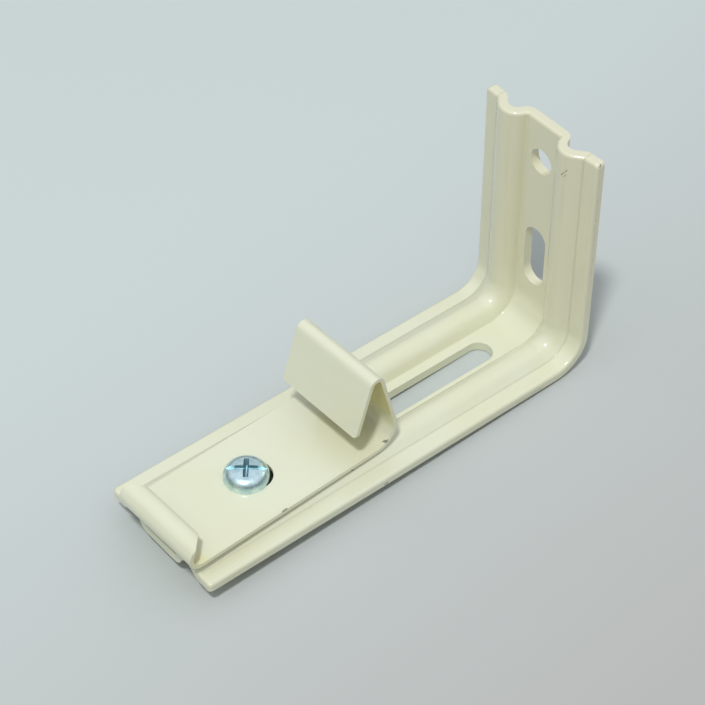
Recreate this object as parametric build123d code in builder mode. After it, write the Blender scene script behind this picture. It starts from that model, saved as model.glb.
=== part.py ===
"""Wall bracket for a vertical blind: a ribbed L-shaped arm that carries a sprung rail clip on a slot.

Frame, in millimetres: Y = 0 is the wall, +Z is up and X runs across the strip. The origin is the middle
of the round screw hole in the wall leg, at the wall. The long leg runs out towards -Y.
"""
import os
from math import cos, sin, radians

from build123d import *

os.makedirs("parts", exist_ok=True)

# The arm: one strip of steel, rolled with two ridges and bent square
ARM_WIDTH = 28.1
ARM_REACH = 86.5
ARM_HEIGHT = 48.5
ARM_SHEET = 1.8
ARM_BEND_R = 8.0
ARM_CORNER_R = 0.8
ARM_ROLLOVER_R = 0.6

# The rolled section, seen from its hollow side, with heights above the middle trough. The peak is where
# the two sides of a ridge would meet if the ridge were not rounded.
TROUGH_FOOT_X = 5.2
RIDGE_PEAK_X = 7.0
RIDGE_PEAK_LIFT = 3.7
FLANGE_FOOT_X = 10.35
FLANGE_FOOT_LIFT = 0.95
FLANGE_EDGE_LIFT = 0.75
FOOT_R = 2.1
RIDGE_R = 1.6

# Holes in the arm, all on its middle line but the long slot, which was punched a little off it
SLOT_WIDTH = 5.2
LONG_SLOT_X = 0.45
LONG_SLOT_FROM_WALL = 12.2
LONG_SLOT_FROM_TIP = 10.0
WALL_HOLE_R = 2.6
WALL_HOLE_HEIGHT = 40.0
WALL_SLOT_LENGTH = 13.2
WALL_SLOT_HEIGHT = 17.8

# The clamping screw and its nut
SCREW_X = 0.6
SCREW_FROM_TIP = 18.1
SHANK_R = 2.0
HEAD_R = 4.05
HEAD_HEIGHT = 2.5
HEAD_RIM = 0.45
RECESS_TURN = 50.0
RECESS_DEPTH = 1.7
RECESS_ARM = 4.4
RECESS_ARM_WIDTH = 1.0
DRIVE_SLOT_WIDTH = 0.9
DRIVE_SLOT_DEPTH = 0.9
NUT_SIDE = 7.0
NUT_THICK = 2.0
NUT_EDGE_R = 0.4
THREAD_CLEARANCE = 0.02
SLIDE_CLEARANCE = 0.05

# The rail clip: one strip of spring steel, in its own directions from the middle of its screw hole
CLIP_WIDTH = 19.4
CLIP_SHEET = 0.75
CLIP_TURN = 1.9
CLIP_HOLE_R = 3.4
CLIP_HOLE_FROM_SCREW_X = 0.45
CLIP_HOLE_FROM_SCREW_Y = 1.25
LIP_START = -18.85
LIP_R = 2.6
LIP_TURN = 214.0
LIP_CORNER = 2.75
RISER_FOOT = 25.64
RISER_BEND_R = 4.6
FOLD_ALONG = 19.9
FOLD_HEIGHT = 22.47
FOLD_R = 1.65
TONGUE_ALONG = 14.76
TONGUE_HEIGHT = 7.0
TONGUE_CORNER_R = 0.9

# Places that follow from the sizes above
ARM_UNDER_Z = -WALL_HOLE_HEIGHT
SCREW_Y = SCREW_FROM_TIP - ARM_REACH
NUT_TOP_Z = ARM_UNDER_Z - SLIDE_CLEARANCE
NUT_UNDER_Z = NUT_TOP_Z - NUT_THICK

# The arm. Its section is drawn once, then run out along the long leg, round the bend and up the wall.
with BuildPart() as bracket_arm:
    with BuildSketch(Plane.XZ.offset(ARM_BEND_R)) as section:
        with BuildLine() as half_section:
            FilletPolyline(
                (0, ARM_UNDER_Z),
                (TROUGH_FOOT_X, ARM_UNDER_Z),
                (RIDGE_PEAK_X, ARM_UNDER_Z + RIDGE_PEAK_LIFT),
                (FLANGE_FOOT_X, ARM_UNDER_Z + FLANGE_FOOT_LIFT),
                (ARM_WIDTH / 2, ARM_UNDER_Z + FLANGE_EDGE_LIFT),
                radius=[FOOT_R, RIDGE_R, FOOT_R],
            )
            offset(amount=ARM_SHEET, side=Side.LEFT)
        make_face()
        mirror(about=Plane.YZ)
    ridge_top_z = section.sketch.bounding_box().max.Z
    extrude(amount=ARM_REACH - ARM_BEND_R)
    bend_axis = Axis((0, -ARM_BEND_R, ARM_UNDER_Z + ARM_BEND_R), (1, 0, 0))
    revolve(section.sketch, axis=bend_axis, revolution_arc=90)
    bend_end = bracket_arm.faces().sort_by(Axis.Z)[-1]
    extrude(bend_end, amount=ARM_HEIGHT - ARM_BEND_R)

    # The long slot that the clamping screw slides in
    slot_length = ARM_REACH - LONG_SLOT_FROM_WALL - LONG_SLOT_FROM_TIP
    slot_middle = -LONG_SLOT_FROM_WALL - slot_length / 2
    with BuildSketch(Plane.XY.offset(ARM_UNDER_Z)) as long_slot:
        with Locations((LONG_SLOT_X, slot_middle)):
            SlotOverall(slot_length, SLOT_WIDTH, rotation=90)
    extrude(amount=ARM_SHEET, mode=Mode.SUBTRACT)

    # The round hole and the upright slot for the wall screws
    with BuildSketch(Plane.XZ) as wall_holes:
        Circle(WALL_HOLE_R)
        with Locations((0, ARM_UNDER_Z + WALL_SLOT_HEIGHT)):
            SlotOverall(WALL_SLOT_LENGTH, SLOT_WIDTH, rotation=90)
    extrude(amount=ARM_SHEET, mode=Mode.SUBTRACT)

    # Blunt corners at both cut ends of the strip
    tip_edges = bracket_arm.faces().sort_by(Axis.Y)[0].edges().sort_by(Axis.X)
    fillet([tip_edges[0], tip_edges[-1]], radius=ARM_CORNER_R)
    top_edges = bracket_arm.faces().sort_by(Axis.Z)[-1].edges().sort_by(Axis.X)
    fillet([top_edges[0], top_edges[-1]], radius=ARM_CORNER_R)

    # The cutting tool rolled the outline over on the upper side and left it sharp underneath. One edge is
    # named, and the rounding follows it all the way round.
    upper_edge = bracket_arm.edges().filter_by(Axis.Y).sort_by(Axis.X)[-1]
    fillet(upper_edge, radius=ARM_ROLLOVER_R)

bracket_arm.part.label = "bracket_arm"
export_step(bracket_arm.part, "parts/bracket_arm.step")

# The rail clip. It lies a little askew on the ridges, as the clamping screw has caught it.
turn = radians(CLIP_TURN)
clip_along = Vector(-sin(turn), cos(turn), 0)
clip_across = Vector(cos(turn), sin(turn), 0)
clip_under_z = ridge_top_z + SLIDE_CLEARANCE
head_under_z = clip_under_z + CLIP_SHEET + SLIDE_CLEARANCE
clip_origin = Vector(SCREW_X + CLIP_HOLE_FROM_SCREW_X, SCREW_Y + CLIP_HOLE_FROM_SCREW_Y, clip_under_z)
clip_side_plane = Plane(origin=clip_origin, x_dir=clip_along, z_dir=clip_across)
clip_flat_plane = Plane(origin=clip_origin, x_dir=clip_across, z_dir=(0, 0, 1))

with BuildPart() as rail_clip:
    with BuildSketch(clip_side_plane) as clip_profile:
        with BuildLine() as clip_outer_line:
            CenterArc((LIP_START, LIP_R), LIP_R, 270 - LIP_TURN, LIP_TURN)
            FilletPolyline(
                (LIP_START, 0),
                (RISER_FOOT, 0),
                (FOLD_ALONG, FOLD_HEIGHT),
                (TONGUE_ALONG, TONGUE_HEIGHT),
                radius=[RISER_BEND_R, FOLD_R],
            )
            offset(amount=CLIP_SHEET, side=Side.LEFT)
        make_face()
    extrude(amount=CLIP_WIDTH / 2, both=True)

    # The lip's free edge is narrower than the strip
    lip_end_along = LIP_START + LIP_R * sin(radians(LIP_TURN - 180))
    corner_back = lip_end_along - LIP_CORNER
    corner_ahead = lip_end_along + LIP_CORNER
    with BuildSketch(clip_flat_plane.offset(LIP_R)) as lip_corners:
        with BuildLine():
            Polyline(
                (CLIP_WIDTH / 2, corner_back),
                (CLIP_WIDTH / 2 + LIP_CORNER, corner_back),
                (CLIP_WIDTH / 2 + LIP_CORNER, corner_ahead),
                (CLIP_WIDTH / 2 - LIP_CORNER, corner_ahead),
                (CLIP_WIDTH / 2 - LIP_CORNER, lip_end_along),
                close=True,
            )
        make_face()
        mirror(about=Plane.YZ)
    extrude(amount=2 * LIP_R, mode=Mode.SUBTRACT)

    # Rounded corners at the foot of the sprung tongue
    tongue_foot = clip_side_plane.from_local_coords(Vector(TONGUE_ALONG, TONGUE_HEIGHT, 0))
    tongue_face = rail_clip.faces().sort_by_distance(tongue_foot)[0]
    fillet(tongue_face.edges().sort_by(SortBy.LENGTH)[:2], radius=TONGUE_CORNER_R)

    with Locations(clip_flat_plane):
        Hole(radius=CLIP_HOLE_R)

rail_clip.part.label = "rail_clip"
export_step(rail_clip.part, "parts/rail_clip.step")

# The screw: a pan head with a cross recess and a straight slot through it
with BuildPart() as clamp_screw:
    with BuildSketch(Plane.XZ.offset(-SCREW_Y)) as screw_half:
        with BuildLine():
            shoulder = (SCREW_X + HEAD_R, head_under_z + HEAD_RIM)
            crown = (SCREW_X + 0.5 * HEAD_R, head_under_z + 0.94 * HEAD_HEIGHT)
            Polyline(
                (SCREW_X, head_under_z + HEAD_HEIGHT),
                (SCREW_X, NUT_UNDER_Z),
                (SCREW_X + SHANK_R, NUT_UNDER_Z),
                (SCREW_X + SHANK_R, head_under_z),
                (SCREW_X + HEAD_R, head_under_z),
                shoulder,
            )
            ThreePointArc(shoulder, (SCREW_X + 0.87 * HEAD_R, head_under_z + 0.68 * HEAD_HEIGHT), crown)
            ThreePointArc(
                crown,
                (SCREW_X + 0.25 * HEAD_R, head_under_z + 0.985 * HEAD_HEIGHT),
                (SCREW_X, head_under_z + HEAD_HEIGHT),
            )
        make_face()
    revolve(axis=Axis((SCREW_X, SCREW_Y, 0), (0, 0, 1)))

    recess_plane = Plane(
        origin=(SCREW_X, SCREW_Y, head_under_z + HEAD_HEIGHT),
        x_dir=(cos(radians(RECESS_TURN)), sin(radians(RECESS_TURN)), 0),
        z_dir=(0, 0, 1),
    )
    with BuildSketch(recess_plane) as cross_mouth:
        Rectangle(RECESS_ARM, RECESS_ARM_WIDTH)
        Rectangle(RECESS_ARM_WIDTH, RECESS_ARM)
    extrude(amount=-RECESS_DEPTH, taper=12, mode=Mode.SUBTRACT)
    with BuildSketch(recess_plane) as drive_slot:
        Rectangle(3 * HEAD_R, DRIVE_SLOT_WIDTH)
    extrude(amount=-DRIVE_SLOT_DEPTH, mode=Mode.SUBTRACT)

clamp_screw.part.label = "clamp_screw"
export_step(clamp_screw.part, "parts/clamp_screw.step")

# The thin square nut under the slot
with BuildPart() as square_nut:
    with BuildSketch(Plane(origin=(SCREW_X, SCREW_Y, NUT_UNDER_Z))) as nut_outline:
        RectangleRounded(NUT_SIDE, NUT_SIDE, NUT_EDGE_R)
        Circle(SHANK_R + THREAD_CLEARANCE, mode=Mode.SUBTRACT)
    extrude(amount=NUT_THICK)

square_nut.part.label = "square_nut"
export_step(square_nut.part, "parts/square_nut.step")
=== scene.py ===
"""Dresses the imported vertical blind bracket: cream lacquer on arm and clip, zinc on screw and nut."""
import math

import bpy
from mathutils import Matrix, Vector

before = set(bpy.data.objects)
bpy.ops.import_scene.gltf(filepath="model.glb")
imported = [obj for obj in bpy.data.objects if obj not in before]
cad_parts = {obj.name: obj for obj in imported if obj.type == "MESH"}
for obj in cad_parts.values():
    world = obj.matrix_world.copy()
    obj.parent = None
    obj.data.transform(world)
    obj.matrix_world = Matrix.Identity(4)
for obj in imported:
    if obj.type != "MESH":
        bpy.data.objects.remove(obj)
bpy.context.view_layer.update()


# The arm is one strip of mild steel, rolled lengthwise with two ridges, punched, and bent square in a press.
# It was sprayed with cream lacquer after bending, so paint lies thick and glossy in the bend and rounds
# every edge, and handling has scratched it. Its two flange folds are painted darker as painted shade, and
# its wall leg is painted a warmer, darker cream as painted shade.
class Wire:
    """One output of a material's nodes. Arithmetic on wires and numbers adds Math nodes."""

    def __init__(self, socket):
        self.socket = socket

    def node(self, kind, settings, inputs, output=0):
        """Adds a node of any type: its settings first, then each input's number, colour or wire."""
        tree = self.socket.id_data
        node = tree.nodes.new(kind)
        for name, value in settings.items():
            setattr(node, name, value)
        for name, value in inputs.items():
            if isinstance(value, Wire):
                tree.links.new(value.socket, node.inputs[name])
            else:
                node.inputs[name].default_value = value
        return Wire(node.outputs[output])

    def math(self, operation, first, second=0.0):
        return self.node("ShaderNodeMath", {"operation": operation}, {0: first, 1: second})

    def vector_math(self, operation, *inputs, output="Vector"):
        return self.node("ShaderNodeVectorMath", {"operation": operation}, dict(enumerate(inputs)), output)

    def __add__(self, other):
        return self.math("ADD", self, other)

    __radd__ = __add__

    def __sub__(self, other):
        return self.math("SUBTRACT", self, other)

    def __rsub__(self, other):
        return self.math("SUBTRACT", other, self)

    def __mul__(self, other):
        return self.math("MULTIPLY", self, other)

    __rmul__ = __mul__

    def __abs__(self):
        return self.math("ABSOLUTE", self)

    def smaller(self, other):
        return self.math("MINIMUM", self, other)

    def larger(self, other):
        return self.math("MAXIMUM", self, other)

    def fade(self, start, end):
        """Goes smoothly from 1 where the value is start to 0 where it is end."""
        return self.node(
            "ShaderNodeMapRange",
            {"interpolation_type": "SMOOTHSTEP"},
            {"Value": self, "From Min": start, "From Max": end, "To Min": 1.0, "To Max": 0.0},
        )

    def axis(self, name):
        """The X, Y or Z part of a place."""
        return self.node("ShaderNodeSeparateXYZ", {}, {"Vector": self}, output=name)

    def noise(self, cells_per_metre, detail):
        """Cloudy noise from 0 to 1. More detail adds finer layers."""
        return self.node(
            "ShaderNodeTexNoise",
            {},
            {"Vector": self, "Scale": cells_per_metre, "Detail": detail, "Roughness": 0.5},
            output="Fac",
        )

    def along(self, direction, start):
        """How far the place lies from start in a direction, times the direction's own length."""
        reach = self.vector_math("DOT_PRODUCT", self, direction, output="Value")
        return reach - Vector(direction).dot(Vector(start))

    def from_line(self, start, end):
        """Distance in metres from the straight line between two points: the foot of the perpendicular on it
        is found as a share of its length, and that share is kept between 0 and 1."""
        run = Vector(end) - Vector(start)
        share = self.along(run / run.length_squared, start).larger(0.0).smaller(1.0)
        foot = self.vector_math("MULTIPLY_ADD", share, run, start)
        return self.vector_math("DISTANCE", self, foot, output="Value")

    def colour(self, near, far):
        """Mixes two colours, or a colour and a wire: near where this wire is 0, far where it is 1. A Mix
        node's inputs 6 and 7 and its output 2 are the ones for colours."""
        return self.node("ShaderNodeMix", {"data_type": "RGBA"}, {"Factor": self, 6: near, 7: far}, output=2)


def new_finish(name, **plain_values):
    """A material with a Principled shader: returns it, its shader node and the place on the piece as a wire."""
    finish = bpy.data.materials.new(name)
    finish.use_nodes = True
    shader = finish.node_tree.nodes["Principled BSDF"]
    for socket, value in plain_values.items():
        shader.inputs[socket.replace("_", " ")].default_value = value
    place = finish.node_tree.nodes.new("ShaderNodeTexCoord")
    return finish, shader, Wire(place.outputs["Object"])


def feed(shader, **wires):
    """Links wires to a shader's sockets."""
    for socket, wire in wires.items():
        shader.id_data.links.new(wire.socket, shader.inputs[socket.replace("_", " ")])


CREAM = (0.730, 0.735, 0.545, 1)
CREAM_WARM = (0.715, 0.715, 0.505, 1)
# Painted shade: the warmer, darker cream of the shaded wall leg.
WALL_PAINTED_SHADE = (0.722, 0.702, 0.495, 1)
WORN_THROUGH = (0.24, 0.225, 0.170, 1)
BLOTCHES_PER_METRE = 55
RIPPLES_PER_METRE = 700
GRAINS_PER_METRE = 1400
TEARS_PER_METRE = 5200
NOISE_LOW, NOISE_HIGH = 0.35, 0.65  # most of the noise lies between these
NOISE_MIDDLE = 0.5
WALL_SHADE_BLUR = 0.006  # metres below and above the height where the painted shade tone starts
TORN_BY = 2.4  # how far noise pulls a worn mark's side in and out, in its radii
WORN_CORE = 0.55  # the share of a worn mark's radius where no paint is left
LACQUER_ROUGHNESS = 0.42
BLOTCH_ROUGHNESS = 0.12
WORN_ROUGHNESS = 0.35
RIPPLE_HEIGHT = 0.6
GRAIN_HEIGHT = 0.25
WORN_DEPTH = 2.0
LACQUER_RELIEF = 0.00001  # metres for a height of 1


def lacquer(name, wear, painted_shade_share, painted_shade_colour, shade_tone_from):
    """Cream lacquer: two creams mixed by broad noise, with a fine orange-peel bump. The fourth argument is a
    darker colour, laid on as painted shade in folds and hollows, and above the height in the last argument
    the cream is painted warmer and darker as painted shade.
    wear lists (start, end, radius) in metres: a short line along which the paint is scratched or knocked
    off, with ragged sides. The third argument, called with the place and fine noise, gives the share of the
    painted shade colour, from 0 to 1."""
    finish, shader, place = new_finish(name, IOR=1.5, Coat_Weight=1.0, Coat_Roughness=0.12)
    broad = place.noise(BLOTCHES_PER_METRE, detail=3).fade(NOISE_LOW, NOISE_HIGH)
    fine = place.noise(GRAINS_PER_METRE, detail=2)
    ragged = place.noise(TEARS_PER_METRE, detail=2) - NOISE_MIDDLE
    paint = broad.colour(CREAM, CREAM_WARM)
    # Painted shade: above a height the cream is painted warmer and darker.
    wall_shade_tone = place.axis("Z").fade(shade_tone_from + WALL_SHADE_BLUR, shade_tone_from - WALL_SHADE_BLUR)
    paint = wall_shade_tone.colour(paint, WALL_PAINTED_SHADE)
    # Painted shade: the darker colour laid in folds and hollows where the mask says.
    paint = painted_shade_share(place, fine).colour(paint, painted_shade_colour)
    worn = None
    for start, end, radius in wear:
        away = place.from_line(start, end) + TORN_BY * radius * ragged
        mark = away.fade(WORN_CORE * radius, radius)
        worn = mark if worn is None else worn.larger(mark)
    paint = worn.colour(paint, WORN_THROUGH)
    roughness = LACQUER_ROUGHNESS + BLOTCH_ROUGHNESS * broad + WORN_ROUGHNESS * worn
    ripples = place.noise(RIPPLES_PER_METRE, detail=1)
    height = RIPPLE_HEIGHT * ripples + GRAIN_HEIGHT * fine - WORN_DEPTH * worn
    bump = height.node("ShaderNodeBump", {}, {"Height": height, "Distance": LACQUER_RELIEF, "Strength": 1.0})
    feed(shader, Base_Color=paint, Roughness=roughness, Normal=bump)
    return finish


# Painted shade: a darker olive laid in narrow bands along the arm's two flange folds.
FOLD_PAINTED_SHADE = (0.44, 0.42, 0.28, 1)
FOLD_OUT = 0.01102  # metres from the arm's middle line
FOLD_BAND = (0.00006, 0.00026)  # metres to either side: full painted shade up to the first, none from the second
FOLD_SHADE_SHARE, FOLD_SHADE_BY_GRAIN = 0.16, 0.28
# Painted shade: above this height the arm's wall leg is painted a warmer, darker cream.
ARM_SHADE_TONE_FROM = -0.030
# Two scratches beside the round hole, a knocked corner, the scraped edge of the wall leg, the arm's scraped
# edge next to the bend, a nick further along it, and one on the ridge beside the clip.
ARM_WEAR = [
    ((0.0077, -0.0046, 0.0036), (0.0088, -0.0043, 0.0052), 0.00011),
    ((0.0083, -0.0045, 0.0035), (0.0087, -0.0044, 0.0041), 0.00007),
    ((0.0141, -0.0019, 0.0080), (0.0139, -0.0016, 0.0083), 0.00017),
    ((0.01428, -0.0018, 0.0070), (0.01426, -0.0015, -0.0210), 0.00017),
    ((0.01426, -0.0190, -0.0388), (0.01424, -0.0115, -0.0388), 0.00020),
    ((0.0141, -0.0486, -0.0389), (0.0141, -0.0480, -0.0389), 0.00020),
    ((0.0097, -0.0526, -0.0362), (0.0098, -0.0522, -0.0363), 0.00014),
]


def arm_fold_shade(place, fine):
    """Painted shade in the two folds at the flanges: narrow darker bands at FOLD_OUT on either side of the
    middle line.
    """
    outward = abs(place.axis("X"))
    return abs(outward - FOLD_OUT).fade(*FOLD_BAND) * (FOLD_SHADE_SHARE + FOLD_SHADE_BY_GRAIN * fine)


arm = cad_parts["bracket_arm"]
arm.data.materials.clear()
arm.data.materials.append(lacquer("arm lacquer", ARM_WEAR, arm_fold_shade, FOLD_PAINTED_SHADE, ARM_SHADE_TONE_FROM))


# The clip is a strip of spring steel three quarters of a millimetre thick, blanked, pierced and bent in a
# progressive die: a curled lip at one end and a sprung hook at the other. It has the arm's cream lacquer;
# the inner sides of the hook and the lip are painted a darker, yellower cream as painted shade.
# Painted shade: a yellower cream for the inner sides of the hook and the lip.
HOOK_AND_LIP_SHADE = (0.75, 0.69, 0.30, 1)
CLIP_SHADE_SHARE, CLIP_SHADE_BY_GRAIN = 0.70, 0.30
LIP_SHADE_WEIGHT = 0.5
CLIP_SHADE_TONE_FROM = 0.010  # above the clip, so none of it gets the painted shade tone
CLIP_ORIGIN = (0.00105, -0.06715, -0.03538)
CLIP_TURN = math.radians(1.9)
CLIP_ALONG = Vector((-math.sin(CLIP_TURN), math.cos(CLIP_TURN), 0))
# Points of the outline of the clip's side: metres along the clip and up from its underside.
RISER_FOOT = (0.02564, 0.0)
FOLD_TOP = (0.01990, 0.02247)
TONGUE_TIP = (0.01476, 0.0070)
LIP_CENTRE = (-0.01885, 0.0026)
# Each pair says where the painted shade is whole and where it has ended, in metres.
BEHIND_STRIP = (0.00065, 0.00035)
ABOVE_FOOT = (0.0090, 0.0025)
BELOW_FOLD = (0.0175, 0.0179)
IN_LIP_SQUARED = (0.0000040, 0.0000056)  # squares of distances from the lip's centre
# Two nicks in the clip's edge: one beside the screw and one at the foot of the hook.
CLIP_WEAR = [
    ((0.0107, -0.0676, -0.0346), (0.0108, -0.0684, -0.0347), 0.00024),
    ((0.0101, -0.0447, -0.0339), (0.0096, -0.0451, -0.0340), 0.00034),
]


def on_clip(along, height):
    """A point of the outline of the clip's side, as a place on the piece."""
    return Vector(CLIP_ORIGIN) + along * CLIP_ALONG + Vector((0, 0, height))


def behind(place, start, end):
    """Distance to the left of the strip's outer line, which runs from start to end. The strip's thickness
    lies on that side."""
    run_along, run_up = end[0] - start[0], end[1] - start[1]
    length = math.hypot(run_along, run_up)
    left = -run_up / length * CLIP_ALONG + Vector((0, 0, run_along / length))
    return place.along(left, on_clip(*start))


def clip_shade_mask(place, fine):
    """Painted shade on the inner sides. In the hook it lies past most of the strip's thickness from the outer
    lines of the riser and of the tongue, in the lip nearer to the centre of the curl than its outside."""
    behind_both = behind(place, RISER_FOOT, FOLD_TOP).smaller(behind(place, FOLD_TOP, TONGUE_TIP))
    hook_shade_mask = behind_both.fade(*BEHIND_STRIP)
    height = place.axis("Z") - CLIP_ORIGIN[2]
    hook_shade_mask = hook_shade_mask * height.fade(*ABOVE_FOOT) * height.fade(*BELOW_FOLD)
    lip_along = place.along(CLIP_ALONG, on_clip(*LIP_CENTRE))
    lip_up = height - LIP_CENTRE[1]
    lip_shade_mask = (lip_along * lip_along + lip_up * lip_up).fade(*IN_LIP_SQUARED)
    return hook_shade_mask.larger(LIP_SHADE_WEIGHT * lip_shade_mask) * (CLIP_SHADE_SHARE + CLIP_SHADE_BY_GRAIN * fine)


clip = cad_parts["rail_clip"]
clip.data.materials.clear()
clip.data.materials.append(lacquer("clip lacquer", CLIP_WEAR, clip_shade_mask, HOOK_AND_LIP_SHADE, CLIP_SHADE_TONE_FROM))


# The screw is a zinc plated steel machine screw with a pan head, cold headed with a cross recess and a
# straight slot through it. The clear bluish plating is bright on the head; in the recesses it is rougher and
# painted darker as painted shade.
ZINC_CLOUDED = (0.52, 0.72, 0.75, 1)
ZINC_PAINTED_SHADE = (0.30, 0.46, 0.50, 1)
CLOUDS_PER_METRE = 700
MARKS_PER_METRE = 3500
HOLLOW_SHADE_SHARE = 0.9
CLOUD_ROUGHNESS = 0.20
HOLLOW_ROUGHNESS = 0.15
CLOUD_HEIGHT = 0.6
MARK_HEIGHT = 0.5
ZINC_RELIEF = 0.000008  # metres for a height of 1


def zinc(name, bright, deep, dull):
    """Zinc plating of roughness dull: bluish metal, cloudy by noise, over fine marks from rolling. deep(place)
    is 1 in the recesses, where the plating is rougher and painted darker as painted shade."""
    finish, shader, place = new_finish(name, Metallic=0.85)
    cloud = place.noise(CLOUDS_PER_METRE, detail=3)
    marks = place.noise(MARKS_PER_METRE, detail=2)
    hollow_shade_and_dullness = deep(place)
    colour = cloud.fade(NOISE_LOW, NOISE_HIGH).colour(bright, ZINC_CLOUDED)
    # Painted shade: the plating is painted darker in the recesses.
    colour = (HOLLOW_SHADE_SHARE * hollow_shade_and_dullness).colour(colour, ZINC_PAINTED_SHADE)
    height = CLOUD_HEIGHT * cloud + MARK_HEIGHT * marks
    bump = height.node("ShaderNodeBump", {}, {"Height": height, "Distance": ZINC_RELIEF, "Strength": 1.0})
    roughness = dull + CLOUD_ROUGHNESS * cloud + HOLLOW_ROUGHNESS * hollow_shade_and_dullness
    feed(shader, Base_Color=colour, Roughness=roughness, Normal=bump)
    return finish


SCREW_BRIGHT = (0.72, 0.90, 0.92, 1)
SCREW_ROUGHNESS = 0.19
SCREW_AXIS = (0.0006, -0.0684)
SCREW_TURN = math.radians(50)
# Each pair says where a recess is painted dark as painted shade and where that shade has faded, in metres.
SLOT_SIDE = (0.00042, 0.00048)
SLOT_ALONG = (0.0020, 0.0028)
CROSS_SIDE = (0.00046, 0.00054)
CROSS_END = (0.0019, 0.0023)
UNDER_HEAD_TOP = (-0.0326, -0.0322)
SLOT_END_SHARE = 0.55  # how dark the painted shade in the slot still is at its ends


def from_screw_axis(place):
    """Distances from the screw's axis along X and along Y."""
    return place.axis("X") - SCREW_AXIS[0], place.axis("Y") - SCREW_AXIS[1]


def screw_hollows(place):
    """Painted shade in the straight slot and the cross, seen along the axis and below the top of the head."""
    out_x, out_y = from_screw_axis(place)
    along = abs(out_x * math.cos(SCREW_TURN) + out_y * math.sin(SCREW_TURN))
    aside = abs(out_y * math.cos(SCREW_TURN) - out_x * math.sin(SCREW_TURN))
    dark = SLOT_END_SHARE + (1 - SLOT_END_SHARE) * along.fade(*SLOT_ALONG)
    in_slot = aside.fade(*SLOT_SIDE) * dark
    in_cross = along.fade(*CROSS_SIDE) * aside.fade(*CROSS_END)
    return in_slot.larger(in_cross) * place.axis("Z").fade(*UNDER_HEAD_TOP)


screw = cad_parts["clamp_screw"]
screw.data.materials.clear()
screw.data.materials.append(zinc("screw zinc", SCREW_BRIGHT, screw_hollows, SCREW_ROUGHNESS))


# The nut is a thin square nut, cropped from plated strip and tapped. It sits out of sight under the slot, and
# its plating is duller than the screw's.
NUT_BRIGHT = (0.70, 0.74, 0.75, 1)
NUT_ROUGHNESS = 0.30
TAPPED_SQUARED = (0.00000412, 0.00000420)  # squares of distances from the axis, just past the hole's wall


def nut_hollow(place):
    """The wall of the tapped hole, where the plating is rougher and painted darker as painted shade."""
    out_x, out_y = from_screw_axis(place)
    return (out_x * out_x + out_y * out_y).fade(*TAPPED_SQUARED)


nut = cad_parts["square_nut"]
nut.data.materials.clear()
nut.data.materials.append(zinc("nut zinc", NUT_BRIGHT, nut_hollow, NUT_ROUGHNESS))


# The floor is a pale sheet, painted brighter towards -X and dimmer towards +X as painted light. The bracket
# rests on the nut's edge and on its own bend, so the floor slopes a little in the bracket's frame, by the angle
# between those two lines of contact. Places are (Y, Z).
NUT_EDGE = (-0.0649, -0.04205)
BEND_CENTRE = (-0.008, -0.032)
BEND_R = 0.008
FLOOR_SIZE = 3.0
FLOOR_PAINTED_DIM = (0.428, 0.416, 0.390, 1)
FLOOR_PAINTED_BRIGHT = (0.556, 0.610, 0.584, 1)
FLOOR_LIGHT_FADES = (-0.08, 0.13)  # X where the painted light on the floor is brightest and where it is dimmest
FLOOR_PATCHES_PER_METRE = 9
FLOOR_PATCH_SHARE = 0.12
reach = BEND_CENTRE[0] - NUT_EDGE[0]
rise = BEND_CENTRE[1] - NUT_EDGE[1]
slope = math.atan2(rise, reach) - math.asin(BEND_R / math.hypot(reach, rise))
floor_mesh = bpy.data.meshes.new("floor")
along = Vector((0, math.cos(slope), math.sin(slope))) * FLOOR_SIZE
across = Vector((FLOOR_SIZE, 0, 0))
middle = Vector((0, NUT_EDGE[0], NUT_EDGE[1]))
corners = [middle - across - along, middle + across - along, middle + across + along, middle - across + along]
floor_mesh.from_pydata([tuple(corner) for corner in corners], [], [(0, 1, 2, 3)])
floor = bpy.data.objects.new("floor", floor_mesh)
bpy.context.scene.collection.objects.link(floor)
floor_finish, floor_shader, floor_place = new_finish("floor sheet", Roughness=0.9, Specular_IOR_Level=0.1)
floor_patches = floor_place.noise(FLOOR_PATCHES_PER_METRE, detail=2) - NOISE_MIDDLE
# Painted light: across X the floor goes from bright to dim, with random patches.
floor_painted_light = floor_place.axis("X").fade(*FLOOR_LIGHT_FADES) + FLOOR_PATCH_SHARE * floor_patches
feed(floor_shader, Base_Color=floor_painted_light.colour(FLOOR_PAINTED_DIM, FLOOR_PAINTED_BRIGHT))
floor_mesh.materials.append(floor_finish)


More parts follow.
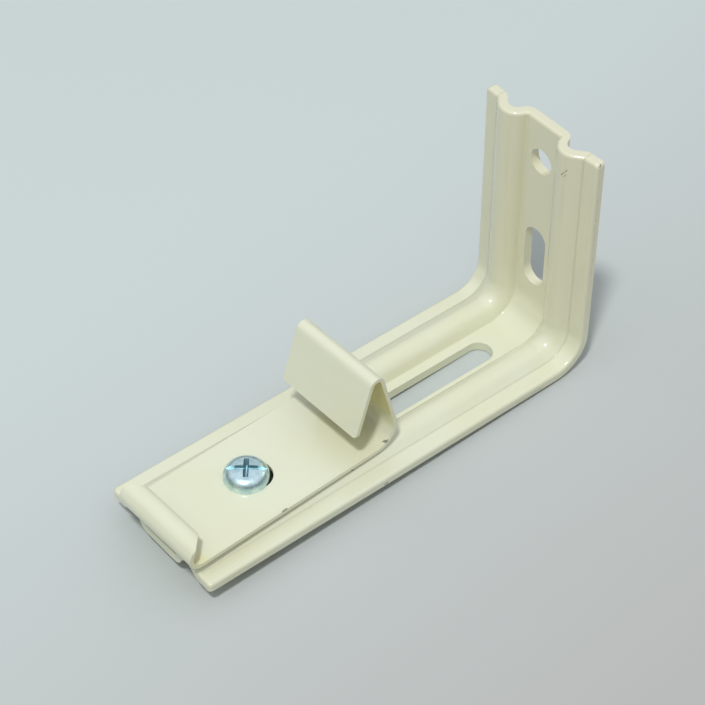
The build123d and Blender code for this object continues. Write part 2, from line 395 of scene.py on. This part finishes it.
# Light: one round lamp high up on the side of the camera, which throws the soft shadows and makes the small
# sparks on the bend and on the screw, and a pale sky that fades and warms low down, over a thin pale haze at
# the horizon.
LAMP_AIM = Vector((0, -0.040, -0.030))
LAMP_DIRECTION = Vector((0.26, -0.36, 0.90))
LAMP_DISTANCE = 2.5
lamp = bpy.data.lights.new("room lamp", "AREA")
lamp.shape = "DISK"
lamp.size = 0.26
lamp.energy = 34
lamp.color = (0.98, 1.0, 1.03)
away = LAMP_DIRECTION.normalized() * LAMP_DISTANCE
lamp_object = bpy.data.objects.new("room lamp", lamp)
lamp_object.location = LAMP_AIM + away
lamp_object.rotation_euler = (-away).to_track_quat("-Z", "Y").to_euler()
bpy.context.scene.collection.objects.link(lamp_object)

SKY_HIGH = (0.95, 1.0, 1.10, 1)
SKY_LOW = (1.0, 0.92, 0.74, 1)
SKY_STRENGTH = 0.74
SKY_LOSS = 0.68  # how much weaker the low sky is
LOW_SKY = (0.05, 0.75)  # the sines of the elevations where the low sky is whole and where it has ended
HAZE = (0.02, 0.06)  # the same for the haze
sky = bpy.data.worlds.new("sky")
sky.use_nodes = True
sky_shader = sky.node_tree.nodes["Background"]
toward = Wire(sky.node_tree.nodes.new("ShaderNodeTexCoord").outputs["Generated"])
low = toward.axis("Z").fade(*LOW_SKY) - toward.axis("Z").fade(*HAZE)
feed(sky_shader, Color=low.colour(SKY_HIGH, SKY_LOW), Strength=SKY_STRENGTH - SKY_LOSS * low)
bpy.context.scene.world = sky


# The camera looks down across the arm from its near side, as the photo was taken.
camera = bpy.data.cameras.new("camera")
camera.lens = 115.32
camera.sensor_width = 36.0
camera.clip_start = 0.01
camera.clip_end = 20
camera_object = bpy.data.objects.new("camera", camera)
camera_object.location = (0.214534, -0.219248, 0.253349)
camera_object.rotation_euler = (math.radians(45.352), math.radians(0.063), math.radians(50.748))
bpy.context.scene.collection.objects.link(camera_object)
bpy.context.scene.camera = camera_object

bpy.context.scene.view_settings.view_transform = "Standard"
